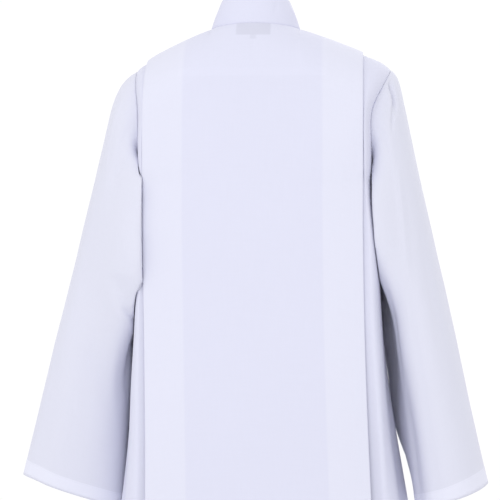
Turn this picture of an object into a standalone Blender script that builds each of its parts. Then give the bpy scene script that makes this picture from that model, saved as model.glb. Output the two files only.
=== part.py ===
"""Alb robe, worn: a long white robe with a stand collar and wide set-in sleeves.

Metres, +Z up. The wearer faces -Y, and their left side is +X. The origin is the middle of
the neck, level with the two points where the shoulder seams meet the collar.

Each cloth piece is a grid laid on one shared body form and given its wall by Solidify.
The back has two deep pressed pleats and each front has one, folded from the same sections.
"""
import math

import bmesh
import bpy
from mathutils import Matrix, Vector

# Cloth
WALL = 0.0010               # one layer of cloth
HEM_WALL = 0.0020           # cloth turned up at a hem
HEM_DEPTH = 0.030
HEM_STEP = 0.001            # the turned edge climbs to its full wall over this length
SEAM = 0.0003               # clear width between two pieces at a seam
SIDE_SEAM_EASE = 0.0004     # more, each side, where folds bend the wall at the side seams
BLEND = 0.16                # a line of the cloth has found its place this far below its start

# Neck and shoulders
NECK_HALF = 0.075
NECK_BACK = 0.068
NECK_FRONT = 0.080
NECK_BACK_RISE = 0.006
NECK_FRONT_FALL = 0.062
SHOULDER_HALF = {"left": 0.2025, "right": 0.2305}
SHOULDER_FALL = 0.0710
SHOULDER_CURVE = 1.15       # the shoulder seams bow upwards, and round off at their outer ends
SHOULDER_ROUND = 0.17

# Armhole, an oval that stands on edge
ARMHOLE_HALF_HEIGHT = 0.093
ARMHOLE_HALF_DEPTH = 0.084
ARMHOLE_MIDDLE = -SHOULDER_FALL - ARMHOLE_HALF_HEIGHT
UNDERARM = ARMHOLE_MIDDLE - ARMHOLE_HALF_HEIGHT

HEM_HEIGHT = -1.430

# Body form, by height: half of the width, how far the left side is drawn in, depth behind and
# before the middle, place of the pleats' outer folds, how square the form is beyond them, and
# swing to the wearer's right
SECTION_COLUMNS = ("height", "half_width", "drawn_in", "back_depth", "front_depth", "pleat_at",
                   "corner", "swing")
SECTIONS = (
    (-0.060, 0.2305, 0.0280, 0.116, 0.106, 0.1830, 3.0, 0.000),
    (-0.074, 0.2300, 0.0275, 0.117, 0.107, 0.1830, 3.0, 0.000),
    (-0.101, 0.2170, 0.0170, 0.119, 0.110, 0.1830, 3.0, 0.000),
    (-0.141, 0.1985, 0.0035, 0.121, 0.114, 0.1830, 3.0, 0.000),
    (-0.180, 0.1965, 0.0025, 0.122, 0.118, 0.1830, 3.2, 0.000),
    (-0.260, 0.2015, 0.0065, 0.123, 0.122, 0.1830, 4.0, 0.000),
    (-0.350, 0.2090, 0.0130, 0.124, 0.123, 0.1830, 5.6, 0.000),
    (-0.570, 0.2180, 0.0060, 0.128, 0.124, 0.1830, 5.0, 0.004),
    (-0.810, 0.2430, 0.0075, 0.146, 0.136, 0.1860, 3.6, 0.0105),
    (-1.120, 0.2800, 0.0000, 0.172, 0.158, 0.1930, 2.6, 0.018),
    (-1.430, 0.3180, -0.0020, 0.198, 0.182, 0.2020, 2.2, 0.020),
)
PANEL_FALL = 0.10           # share of its depth that a panel loses between its middle and its fold
PANEL_CORNER = 3.0

# Pleats, folded towards the middle under the panel that shows
PLEAT_DEPTH = 0.064
PLEAT_TURN = 0.0012         # radius of a pressed fold, at the middle of the wall
PLEAT_TURN_HEM = 0.0032
PLEAT_OPENS_BELOW = -0.45
PLEAT_GAPE = {"left": 0.007, "right": 0.014}     # how far the side panel sinks in at the hem

# Soft folds that grow down the skirt: place round the half form (0 middle of the back,
# 1 side seam, 2 middle of the front), half of the width there, rise at the hem, height of
# the top of the fold
FOLDS = {
    "left": (
        # place, spread, rise, top
        (0.15, 0.120, 0.010, -0.86),
        (0.57, 0.090, 0.016, -0.60),
        (0.79, 0.080, -0.014, -0.52),
        (1.00, 0.095, 0.026, -0.50),
        (1.21, 0.080, -0.012, -0.58),
        (1.42, 0.090, 0.022, -0.46),
        (1.76, 0.110, 0.012, -0.85),
    ),
    "right": (
        (0.22, 0.120, 0.009, -0.92),
        (0.60, 0.085, 0.020, -0.54),
        (0.80, 0.080, -0.016, -0.48),
        (1.00, 0.090, 0.024, -0.42),
        (1.20, 0.080, -0.015, -0.56),
        (1.40, 0.090, 0.024, -0.50),
        (1.70, 0.120, 0.013, -0.80),
    ),
}

# The left front laps over the right one
LAP_HALF = 0.015
LAP_LIFT = 0.0015
LAP_EASE = 0.045            # the fronts are level with each other again this far out

# Sleeves: how far the cap stands out at the shoulder, middle of the hem, its half width and
# half depth, how far its oval is turned about the arm and its plane leans, both in degrees
SLEEVES = {
    # cap, hem_x, hem_y, hem_z, half_width, half_depth, turned, leaning
    "left": (0.034, 0.3190, -0.050, -0.797, 0.0950, 0.066, 0.0, 17.0),
    "right": (0.012, 0.3390, 0.008, -0.794, 0.0600, 0.090, 18.0, 17.0),
}
SLEEVE_BEND = 0.034         # how far the cap stands out behind and before
SLEEVE_TUCK = 0.88          # share of that which is lost under the arm
SLEEVE_HEAD = 0.08          # the cap's length, by parts of the sleeve's
SLEEVE_SQUARE = 0.80        # under 1, a sleeve is squarer than an oval
SLEEVE_GAP = 0.0010         # from the body's edge to the middle of the sleeve's wall
SLEEVE_CLEAR = 0.0030       # between the body form and the inner side of a sleeve
# Soft folds along a sleeve: angle round it (0 outside, 90 back, 180 body side), half of the
# width in degrees, rise, and where along it they lie and how far they reach, by parts of
# its length
SLEEVE_FOLDS = {
    "left": (
        # place, spread, rise, at, reach
        (120.0, 26.0, 0.080, 0.28, 0.36),
        (134.0, 22.0, 0.052, 0.055, 0.135),
        (228.0, 26.0, 0.030, 0.50, 0.50),
        (318.0, 20.0, -0.009, 0.80, 0.40),
        (48.0, 24.0, -0.006, 0.90, 0.40),
    ),
    "right": (
        (128.0, 26.0, 0.038, 0.19, 0.27),
        (160.0, 34.0, 0.024, 0.05, 0.13),
        (126.0, 18.0, -0.010, 0.84, 0.40),
        (222.0, 30.0, 0.056, 0.46, 0.54),
        (200.0, 28.0, 0.028, 0.78, 0.28),
        (290.0, 20.0, 0.008, 0.66, 0.36),
        (330.0, 20.0, -0.008, 0.86, 0.40),
    ),
}

# Collar
COLLAR_WALL = 0.0026        # two layers and the seam allowance between them
COLLAR_TOP_HALF = 0.0565
COLLAR_TOP_BACK = 0.050
COLLAR_TOP_FRONT = 0.068
COLLAR_HEIGHT = 0.050
COLLAR_RISE = 0.0016        # its lower edge stands this far above the neckline
COLLAR_LAP_LIFT = 0.0021
COLLAR_CORNER = 0.012       # the front corners are rounded off by this much
COLLAR_LAP = 15.0           # degrees past the middle of the front at each end

# Blank labels inside the back of the neck
LABEL_HALF = 0.029
LABEL_TOP = 12.0            # where its upper edge lies, by degrees over the shoulder ridge
LABEL_BOTTOM = 38.0
LABEL_WALL = 0.0008
LABEL_GAP = 0.0006           # it bridges the small facets behind it
TAB_HALF = 0.0050
TAB_BOTTOM = 45.0

# Buttons down the front
BUTTON_RADIUS = 0.0075
BUTTON_THICKNESS = 0.0026
BUTTON_BEVEL = 0.0006
BUTTON_GAP = 0.0006
BUTTON_FIRST = -0.100
BUTTON_PITCH = 0.105
BUTTON_COUNT = 8

# How finely each piece is divided
NECK_STEPS = 6
RIDGE_STEPS = 5
ARMHOLE_STEPS = 4
TURN_STEPS = 4
SIDE_STEPS = 8
SKIRT_LEVELS = (0.12, 0.18, 0.26, 0.36, 0.47, 0.59, 0.71, 0.82, 0.91)
SLEEVE_HEAD_STEPS = 4
SLEEVE_LEVELS = (0.08, 0.19, 0.31, 0.43, 0.55, 0.67, 0.79, 0.89)
COLLAR_STEPS = 26
COLLAR_ROWS = 3

BACK, FRONT = 1, -1
SIDES = {"left": 1, "right": -1}

# Stations run from the middle of the back or front (0) to the pleat's outer fold (1) and on
# to the armhole or side seam (2)
NECK_STATION = 0.50
UNDERLAY_STATION = 1 - PLEAT_DEPTH / SECTIONS[0][SECTION_COLUMNS.index("pleat_at")]


def mix(start, end, share):
    return start + (end - start) * share


def ease(share):
    """0 to 1 with a soft start and a soft end."""
    share = min(max(share, 0.0), 1.0)
    return share * share * (3 - 2 * share)


def section(column, height):
    """A column of SECTIONS at a height, by a smooth curve through its rows."""
    index = SECTION_COLUMNS.index(column)
    if height >= SECTIONS[0][0]:
        return SECTIONS[0][index]
    for row in range(len(SECTIONS) - 1):
        above, below = SECTIONS[row], SECTIONS[row + 1]
        if height < below[0] and row < len(SECTIONS) - 2:
            continue
        before = SECTIONS[max(row - 1, 0)]
        after = SECTIONS[min(row + 2, len(SECTIONS) - 1)]
        span = above[0] - below[0]
        start_slope = (below[index] - before[index]) / (before[0] - below[0]) * span
        end_slope = (after[index] - above[index]) / (above[0] - after[0]) * span
        share = (above[0] - height) / span
        square, cube = share ** 2, share ** 3
        return ((2 * cube - 3 * square + 1) * above[index] + (cube - 2 * square + share) * start_slope
                + (3 * square - 2 * cube) * below[index] + (cube - square) * end_slope)


def pleat_opening(height):
    """0 where the pleats are pressed shut, 1 at the hem."""
    return ease((PLEAT_OPENS_BELOW - height) / (PLEAT_OPENS_BELOW - HEM_HEIGHT)) ** 0.8


def body_half(side, height):
    """Half of the body's width, on one side."""
    return section("half_width", height) - (section("drawn_in", height) if side == "left" else 0.0)


def top_edge(face, side, station):
    """Where a line of the cloth starts, on the neckline or the shoulder seam."""
    pleat = section("pleat_at", 0)
    if station < NECK_STATION:
        angle = math.radians(90) * station / NECK_STATION
        depth = NECK_BACK if face == BACK else NECK_FRONT
        rise = NECK_BACK_RISE if face == BACK else -NECK_FRONT_FALL
        return NECK_HALF * math.sin(angle), depth * math.cos(angle), rise * math.cos(angle) ** 2
    if station < UNDERLAY_STATION:
        share = (station - NECK_STATION) / (UNDERLAY_STATION - NECK_STATION)
        across = mix(NECK_HALF, UNDERLAY_STATION * pleat, share)
    elif station < 1:
        across = station * pleat
    else:
        across = mix(pleat, SHOULDER_HALF[side], side_share(station))
    share = (across - NECK_HALF) / (SHOULDER_HALF[side] - NECK_HALF)
    fallen = mix(share ** SHOULDER_CURVE, share ** 10, SHOULDER_ROUND)
    return across, 0.0, -SHOULDER_FALL * fallen


def side_share(station):
    """Share of the way from the pleat to the side seam, with close steps at the seam."""
    return 1 - (2 - station) ** 2


def armhole_edge(height):
    """Depth of the cloth at its outer edge: on the armhole, and none at the side seam."""
    below = (ARMHOLE_MIDDLE - height) / ARMHOLE_HALF_HEIGHT
    return ARMHOLE_HALF_DEPTH * math.sqrt(1 - min(max(below, 0.0), 1.0) ** 2)


def fold_rise(side, place, height):
    """How far the soft folds lift the cloth at a place round the form."""
    total = 0.0
    for fold_place, spread, rise, top in FOLDS[side]:
        grown = ease((top - height) / (top - HEM_HEIGHT))
        total += rise * grown * math.exp(-((place - fold_place) / spread) ** 2)
    return total


def form_point(face, side, station, row):
    """A point of the body form, on the middle of the wall, without pleats."""
    turned, fallen = row
    top_across, top_depth, top_height = top_edge(face, side, abs(station))
    drop = 1 - math.cos(math.radians(turned))
    height = mix(top_height - ARMHOLE_HALF_HEIGHT * drop, HEM_HEIGHT, fallen)
    half_width = body_half(side, height)
    pleat = section("pleat_at", height)
    under = (ARMHOLE_MIDDLE - height) / ARMHOLE_HALF_HEIGHT
    if abs(station) < 1:
        across = mix(top_across, abs(station) * pleat, ease((top_height - height) / BLEND))
        falling_off = 1 - PANEL_FALL * (across / pleat) ** PANEL_CORNER
    else:
        aside = side_share(abs(station))
        across = mix(pleat, half_width, aside)
        rounded = max(1 - aside ** section("corner", height), 0.0) ** mix(1.0, 0.5, ease((under - 0.7) / 1.5))
        falling_off = (1 - PANEL_FALL) * rounded
    middle_depth = section("back_depth" if face == BACK else "front_depth", height)
    depth = mix(armhole_edge(height), middle_depth, falling_off)
    at_neck = max(1 - abs(station) / NECK_STATION, 0.0)
    over_ridge = (1 - (1 - drop) ** mix(2.0, 1.7, at_neck)) ** mix(0.5, 1.0, at_neck)
    depth = mix(top_depth, depth, over_ridge)
    # the soft folds stand out from the form square to its oval
    lean = Vector((across / half_width ** 2, depth / middle_depth ** 2))
    place = math.atan2(lean.x * half_width, lean.y * middle_depth) / math.radians(90)
    place = place if face == BACK else 2 - place
    lean.normalize()
    rise = fold_rise(side, place, height)
    hand = SIDES[side] * (1 if station >= 0 else -1)
    swing = section("swing", height)
    wall_scale = HEM_WALL / WALL if height < HEM_HEIGHT + HEM_DEPTH + HEM_STEP else 1
    seam_half = SEAM / 2 + SIDE_SEAM_EASE * wall_scale * ease((UNDERARM - height) / BLEND)
    return Vector((hand * (across + rise * lean.x) - swing,
                   face * (max(depth, 0.0) + seam_half + rise * lean.y), height))


def form_frame(face, side, station, row):
    """A form point, the way outwards along the cloth there, and the way off it."""
    turned, fallen = row
    nudge = 0.002
    centre = min(station, 2.0 - nudge)
    along = form_point(face, side, centre + nudge, row) - form_point(face, side, centre - nudge, row)
    if fallen == 0:
        low, high = max(turned - 1, 0), min(turned + 1, 90)
        down = form_point(face, side, centre, (high, 0)) - form_point(face, side, centre, (low, 0))
    else:
        down = (form_point(face, side, centre, (turned, min(fallen + nudge, 1)))
                - form_point(face, side, centre, (turned, fallen - nudge)))
    along.normalize()
    off = along.cross(down).normalized()
    if off.y * face < -0.2 or (abs(off.y) <= 0.2 and off.x * SIDES[side] < -0.2):
        off.negate()
    return form_point(face, side, station, row), along, off


def body_rows():
    """Rows of the body pieces from the top edge to the hem, as (turned, fallen)."""
    rows = [(90 * step / RIDGE_STEPS, 0.0) for step in range(RIDGE_STEPS + 1)]
    length = ARMHOLE_MIDDLE - HEM_HEIGHT
    for step in range(1, ARMHOLE_STEPS + 1):
        rows.append((90, ARMHOLE_HALF_HEIGHT * math.sin(math.radians(90) * step / ARMHOLE_STEPS) / length))
    rows += [(90, level) for level in SKIRT_LEVELS]
    rows += [(90, 1 - (HEM_DEPTH + HEM_STEP) / length), (90, 1 - HEM_DEPTH / length), (90, 1.0)]
    return rows


def half_columns():
    """Columns from the middle to the side, as (station, out along the fold, layers down)."""
    columns = [(NECK_STATION * step / NECK_STEPS, 0, 0) for step in range(NECK_STEPS + 1)]
    columns += [(mix(NECK_STATION, UNDERLAY_STATION, 0.5), 0, 0), (UNDERLAY_STATION, 0, 0)]
    columns += [(mix(UNDERLAY_STATION, 1, 0.5), 0, 0)]
    for step in range(TURN_STEPS + 1):
        angle = math.radians(180) * step / TURN_STEPS
        columns.append((1, math.sin(angle), 1 - math.cos(angle)))
    columns.append((mix(UNDERLAY_STATION, 1, 0.5), 0, 2))
    for step in range(TURN_STEPS + 1):
        angle = math.radians(180) * step / TURN_STEPS
        columns.append((UNDERLAY_STATION, -math.sin(angle), 3 - math.cos(angle)))
    columns += [(mix(UNDERLAY_STATION, 1, 0.5), 0, 4), (1, 0, 4)]
    columns += [(1 + step / SIDE_STEPS, 0, 4) for step in range(1, SIDE_STEPS + 1)]
    return columns


def body_point(face, side, column, row):
    """A point of a body piece, with its pleat folded under."""
    station, out, layers = column
    point, along, off = form_frame(face, side, abs(station), row)
    if station < 0:
        point = form_point(face, side, station, row)
    opening = pleat_opening(point.z)
    turn = mix(PLEAT_TURN, PLEAT_TURN_HEM, opening)
    depth = layers * turn
    if layers == 4:
        gape = PLEAT_GAPE[side] * opening
        if station <= 1:
            depth += gape * ease((station - UNDERLAY_STATION) / (1 - UNDERLAY_STATION))
        else:
            depth = (depth + gape) * (1 - ease((side_share(station) - 0.06) / 0.94))
    return point + along * out * turn - off * depth


def front_point(side, column, row):
    """A point of a front, which laps over or under the other one at the middle."""
    point = body_point(FRONT, side, column, row)
    station = column[0]
    if column[2] == 0:
        across = abs(point.x + section("swing", point.z))
        lift = LAP_LIFT * (1 - ease((across - LAP_HALF) / LAP_EASE))
        off = form_frame(FRONT, side, max(abs(station), 0.01), row)[2]
        point += off * lift * SIDES[side]
    return point


def material(name, colour, roughness, metallic=0.0):
    made = bpy.data.materials.new(name)
    made.use_nodes = True
    shader = made.node_tree.nodes["Principled BSDF"]
    shader.inputs["Base Color"].default_value = (*colour, 1)
    shader.inputs["Roughness"].default_value = roughness
    shader.inputs["Metallic"].default_value = metallic
    made.diffuse_color = (*colour, 1)
    return made


def place(name, mesh, look):
    made = bpy.data.objects.new(name, mesh)
    made.data.materials.append(look)
    bpy.data.collections["alb_robe"].objects.link(made)
    return made


def cloth(name, columns, rows, point_at, wall, look, thick_rows=(), closed=False):
    """A grid moved onto its form and given a wall; a closed one is welded into a tube."""
    sheet = bmesh.new()
    bmesh.ops.create_grid(sheet, x_segments=columns, y_segments=rows, size=1)
    weights = sheet.verts.layers.deform.verify()
    for vertex in sheet.verts:
        column = round((vertex.co.x + 1) / 2 * columns)
        row = round((1 - vertex.co.y) / 2 * rows)
        vertex.co = point_at(column % columns if closed else column, row)
        vertex[weights][0] = 1.0 if row in thick_rows or not thick_rows else WALL / wall
    if closed:
        bmesh.ops.remove_doubles(sheet, verts=sheet.verts, dist=0.00005)
    bmesh.ops.recalc_face_normals(sheet, faces=sheet.faces)
    for surface in sheet.faces:
        surface.smooth = True
    mesh = bpy.data.meshes.new(name)
    sheet.to_mesh(mesh)
    sheet.free()
    made = place(name, mesh, look)
    made.vertex_groups.new(name="wall")
    solidify = made.modifiers.new("wall", "SOLIDIFY")
    solidify.thickness = wall
    solidify.offset = 0
    solidify.use_quality_normals = True
    solidify.vertex_group = "wall"
    # layers that lie over each other are split along the same diagonals
    split = made.modifiers.new("split", "TRIANGULATE")
    split.quad_method = "SHORTEST_DIAGONAL"
    return made


def make_back(look):
    half = half_columns()
    columns = [("left", column) for column in reversed(half)] + [("right", column) for column in half[1:]]
    rows = body_rows()

    def point_at(column, row):
        side, place_across = columns[column]
        return body_point(BACK, side, place_across, rows[row])

    cloth("back", len(columns) - 1, len(rows) - 1, point_at, HEM_WALL, look,
          thick_rows=(len(rows) - 2, len(rows) - 1))


def make_front(side, look):
    lap = LAP_HALF / section("pleat_at", 0)
    columns = [(-lap, 0, 0)] + half_columns()
    rows = body_rows()

    def point_at(column, row):
        return front_point(side, columns[column], rows[row])

    cloth("front_" + side, len(columns) - 1, len(rows) - 1, point_at, HEM_WALL, look,
          thick_rows=(len(rows) - 2, len(rows) - 1))


def armhole_point(side, angle):
    """A point of an armhole, as on the left: 0 at the shoulder, 90 behind, 180 under the arm."""
    height = ARMHOLE_MIDDLE + ARMHOLE_HALF_HEIGHT * math.cos(math.radians(angle))
    depth = ARMHOLE_HALF_DEPTH * math.sin(math.radians(angle))
    return Vector((body_half(side, height), depth, height))


def sleeve_hem_point(side, angle):
    """A point of a sleeve's hem, as on the left side of the wearer."""
    _, hem_x, hem_y, hem_z, half_width, half_depth, turned, leaning = SLEEVES[side]
    cosine, sine = math.cos(math.radians(angle)), math.sin(math.radians(angle))
    out = half_width * math.copysign(abs(cosine) ** SLEEVE_SQUARE, cosine)
    back = half_depth * math.copysign(abs(sine) ** SLEEVE_SQUARE, sine)
    oval = Matrix.Rotation(math.radians(turned), 3, "Z") @ Vector((out, back, 0))
    return Vector((hem_x, hem_y, hem_z)) + Matrix.Rotation(math.radians(-leaning), 3, "Y") @ oval


def clear_of_body(side, point):
    """Move a sleeve's point outwards until it is clear of the body form."""
    off_hole = math.hypot(point.y / ARMHOLE_HALF_DEPTH, (point.z - ARMHOLE_MIDDLE) / ARMHOLE_HALF_HEIGHT)
    if off_hole < 1 or point.z > ARMHOLE_MIDDLE:
        return point
    back = point.y > 0
    middle_depth = section("back_depth" if back else "front_depth", point.z)
    rounded = 1 - min(abs(point.y) / (middle_depth * (1 - PANEL_FALL)), 1) ** 2
    half_width = body_half(side, point.z)
    across = mix(section("pleat_at", point.z), half_width, rounded ** (1 / section("corner", point.z)))
    place_round = math.atan2(across / half_width, abs(point.y) / middle_depth) / math.radians(90)
    across += max(fold_rise(side, place_round if back else 2 - place_round, point.z), 0.0)
    grown = ease((off_hole - 1) / 0.25)
    least = across + SLEEVE_CLEAR * grown - SIDES[side] * section("swing", point.z)
    point.x = max(point.x, least)
    return point


def sleeve_fold(side, angle, along):
    """How far the soft folds lift a sleeve's cloth."""
    total = 0.0
    for place_round, spread, rise, middle, reach in SLEEVE_FOLDS[side]:
        off_round = (angle - place_round + 180) % 360 - 180
        off_along = (along - middle) / reach
        if abs(off_along) < 1:
            total += rise * math.exp(-(off_round / spread) ** 2) * math.cos(math.radians(90) * off_along) ** 2
    return total


def sleeve_point(side, angle, head, along):
    """A point of a sleeve: head runs 0 to 1 over its cap, then along runs 0 to 1 to the hem."""
    cosine, sine = math.cos(math.radians(angle)), math.sin(math.radians(angle))
    start = armhole_point(side, angle)
    spare = max(sine, 0.0) * max(-cosine, 0.0)     # of the cloth low behind the arm
    leaves = Vector((0.91, 0.12 * sine + spare, -0.39)).normalized()
    tucked = SLEEVE_TUCK * ease(0.35 * max(sine, 0.0) - cosine)
    bend = mix(SLEEVE_BEND, SLEEVES[side][0], max(cosine, 0.0)) * (1 - tucked)
    start = start + leaves * SLEEVE_GAP * (1.5 - 0.5 * cosine)
    corner = start + leaves * bend
    end = sleeve_hem_point(side, angle)
    runs = (end - corner).normalized()
    settled = corner + runs * (bend * 1.2 + 0.020)
    if along == 0:
        point = (1 - head) ** 2 * start + 2 * head * (1 - head) * corner + head ** 2 * settled
    else:
        point = settled.lerp(end, along)
    out = Vector((cosine, sine, 0)) * sleeve_fold(side, angle, along + (head - 1) * SLEEVE_HEAD)
    point = clear_of_body(side, point + out)
    return Vector((SIDES[side] * point.x, point.y, point.z))


def make_sleeve(side, look):
    angles = [90 * step / RIDGE_STEPS for step in range(RIDGE_STEPS)]
    angles += [90 + 90 * step / ARMHOLE_STEPS for step in range(ARMHOLE_STEPS + 1)]
    angles += [360 - angle for angle in reversed(angles[1:-1])]
    length = (sleeve_hem_point(side, 0) - armhole_point(side, 0)).length
    rows = [(step / SLEEVE_HEAD_STEPS, 0.0) for step in range(SLEEVE_HEAD_STEPS + 1)]
    rows += [(1, level) for level in SLEEVE_LEVELS]
    rows += [(1, 1 - (HEM_DEPTH + HEM_STEP) / length), (1, 1 - HEM_DEPTH / length), (1, 1.0)]

    def point_at(column, row):
        return sleeve_point(side, angles[column], *rows[row])

    cloth("sleeve_" + side, len(angles), len(rows) - 1, point_at, HEM_WALL, look,
          thick_rows=(len(rows) - 2, len(rows) - 1), closed=True)


def collar_point(angle, up):
    """A point of the collar; the angle is 0 at the middle of the back."""
    sine, cosine = math.sin(math.radians(angle)), math.cos(math.radians(angle))
    back = cosine > 0
    low = Vector((NECK_HALF * sine, (NECK_BACK if back else NECK_FRONT) * cosine,
                  (NECK_BACK_RISE if back else -NECK_FRONT_FALL) * cosine ** 2))
    high = Vector((COLLAR_TOP_HALF * sine, (COLLAR_TOP_BACK if back else COLLAR_TOP_FRONT) * cosine,
                   low.z + COLLAR_HEIGHT))
    end = 180 + COLLAR_LAP
    ends = max(abs(angle) - (end - 14), 0) / 14
    high = low.lerp(high, 1 - COLLAR_CORNER / COLLAR_HEIGHT * (1 - math.sqrt(1 - ends ** 2)))
    steep = 0.0 if back else abs(math.sin(math.radians(2 * angle)))
    low = low + (high - low).normalized() * COLLAR_RISE * (1 + steep)
    outwards = Vector((sine, cosine, 0))
    lap = COLLAR_LAP_LIFT * ease((abs(angle) - 90) / 70) * math.copysign(1, angle)
    bulge = 0.0015 * math.sin(math.radians(180) * up)
    return low.lerp(high, up) + outwards * (lap + bulge)


def make_collar(look):
    end = 180 + COLLAR_LAP

    def point_at(column, row):
        return collar_point(mix(-end, end, column / COLLAR_STEPS), row / COLLAR_ROWS)

    cloth("collar", COLLAR_STEPS, COLLAR_ROWS, point_at, COLLAR_WALL, look)


def make_label(name, half, top, bottom, layers, look):
    """A small woven label inside the back, under the collar seam, on the back's own facets."""
    across, down = 6, 3
    depth = WALL / 2 + LABEL_GAP + LABEL_WALL / 2 + layers * (LABEL_WALL + SEAM)
    ridge_step, station_step = 90 / RIDGE_STEPS, NECK_STATION / NECK_STEPS

    def facet_corner(side, station, turned):
        point, _, off = form_frame(BACK, side, station, (turned, 0.0))
        return point - off * depth

    def point_at(column, row):
        reach = half * (2 * column / across - 1)
        station = NECK_STATION * math.degrees(math.asin(abs(reach) / NECK_HALF)) / 90
        side = "left" if reach >= 0 else "right"
        turned = mix(top, bottom, row / down)
        low, inner = turned // ridge_step * ridge_step, station // station_step * station_step
        upper = facet_corner(side, inner, low).lerp(facet_corner(side, inner + station_step, low),
                                                    (station - inner) / station_step)
        lower = facet_corner(side, inner, low + ridge_step).lerp(
            facet_corner(side, inner + station_step, low + ridge_step), (station - inner) / station_step)
        return upper.lerp(lower, (turned - low) / ridge_step)

    cloth(name, across, down, point_at, LABEL_WALL, look)


def make_buttons(look):
    """Flat buttons over the middle of the front, each on the facet of the left front behind it."""
    line = [front_point("left", (0.0, 0, 0), row) for row in body_rows()]
    for number in range(BUTTON_COUNT):
        height = BUTTON_FIRST - BUTTON_PITCH * number
        upper, lower = next((a, b) for a, b in zip(line, line[1:]) if a.z >= height > b.z)
        point = upper.lerp(lower, (upper.z - height) / (upper.z - lower.z))
        off = Vector((1, 0, 0)).cross(upper - lower).normalized()
        bpy.ops.mesh.primitive_cylinder_add(vertices=20, radius=BUTTON_RADIUS, depth=BUTTON_THICKNESS)
        button = bpy.context.object
        button.name = f"button_{number + 1}"
        button.data.name = button.name
        button.data.materials.append(look)
        button.rotation_euler = off.to_track_quat("Z", "Y").to_euler()
        button.location = point + off * (WALL / 2 + BUTTON_GAP + BUTTON_THICKNESS / 2)
        bevel = button.modifiers.new("rim", "BEVEL")
        bevel.width = BUTTON_BEVEL
        bevel.segments = 1
        for used in button.users_collection:
            used.objects.unlink(button)
        bpy.data.collections["alb_robe"].objects.link(button)


for old in list(bpy.data.objects):
    bpy.data.objects.remove(old, do_unlink=True)
robe = bpy.data.collections.new("alb_robe")
bpy.context.scene.collection.children.link(robe)

make_back(material("back_cloth", (0.80, 0.80, 0.88), 0.75))
for side in SIDES:
    make_front(side, material(f"front_{side}_cloth", (0.80, 0.80, 0.88), 0.75))
    make_sleeve(side, material(f"sleeve_{side}_cloth", (0.78, 0.78, 0.86), 0.75))
make_collar(material("collar_cloth", (0.79, 0.79, 0.87), 0.72))
make_label("neck_label", LABEL_HALF, LABEL_TOP, LABEL_BOTTOM, 0,
           material("label_weave", (0.55, 0.56, 0.60), 0.6))
make_label("size_label", TAB_HALF, LABEL_TOP + 4, TAB_BOTTOM, 1,
           material("size_label_weave", (0.62, 0.63, 0.67), 0.6))
make_buttons(material("button_plastic", (0.82, 0.82, 0.86), 0.30))
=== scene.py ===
"""Alb robe, dressed: the sewn robe in its worn form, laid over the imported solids.

Metres, +Z up. The wearer faces -Y, and their left side is +X. The origin is the middle of
the neck, level with the two points where the shoulder seams meet the collar.
"""
import functools
import math

import bmesh
import bpy
from mathutils import Matrix, Vector, noise


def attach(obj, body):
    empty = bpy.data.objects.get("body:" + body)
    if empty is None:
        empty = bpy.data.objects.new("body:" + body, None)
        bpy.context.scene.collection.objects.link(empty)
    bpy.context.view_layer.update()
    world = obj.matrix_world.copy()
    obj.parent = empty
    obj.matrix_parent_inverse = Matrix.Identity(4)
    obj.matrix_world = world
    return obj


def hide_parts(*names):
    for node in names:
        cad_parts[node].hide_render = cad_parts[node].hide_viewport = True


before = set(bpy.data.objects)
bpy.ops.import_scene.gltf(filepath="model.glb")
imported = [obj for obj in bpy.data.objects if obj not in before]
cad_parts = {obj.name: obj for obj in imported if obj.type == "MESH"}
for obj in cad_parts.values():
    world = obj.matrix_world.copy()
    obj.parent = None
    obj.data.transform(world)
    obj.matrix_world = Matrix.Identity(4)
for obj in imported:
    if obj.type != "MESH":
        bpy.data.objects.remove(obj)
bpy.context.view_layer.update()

# ---------------------------------------------------------------- Back
# The back is one flared panel of light woven polyester with two deep pressed pleats, cut in
# one from the neckline to the hem. The collar, the shoulder seams and the side seams hold it,
# and its lower edge is turned up 30 mm and stitched.
CLOTH = 0.0006  # one layer of cloth with its two faces
HEM_CLOTH = 0.0013  # the cloth turned up at a hem
HEM_DEPTH = 0.030
HEM_ROWS = 5  # of the grid, on the turned hem
SEAM = 0.0002  # two pieces meet this close at a seam
BLEND = 0.16  # a line of the cloth has found its place this far below its start

NECK_HALF = 0.075
NECK_BACK = 0.068
NECK_FRONT = 0.080
NECK_BACK_RISE = 0.006
NECK_FRONT_FALL = 0.062
SHOULDER_HALF = {"left": 0.2025, "right": 0.2305}
SHOULDER_FALL = 0.0710
SHOULDER_CURVE = 1.15  # the shoulder seams bow upwards, and round off at their outer ends
SHOULDER_ROUND = 0.17
ARMHOLE_HALF_HEIGHT = 0.093
ARMHOLE_HALF_DEPTH = 0.084
ARMHOLE_MIDDLE = -SHOULDER_FALL - ARMHOLE_HALF_HEIGHT
HEM_HEIGHT = -1.430

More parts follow.
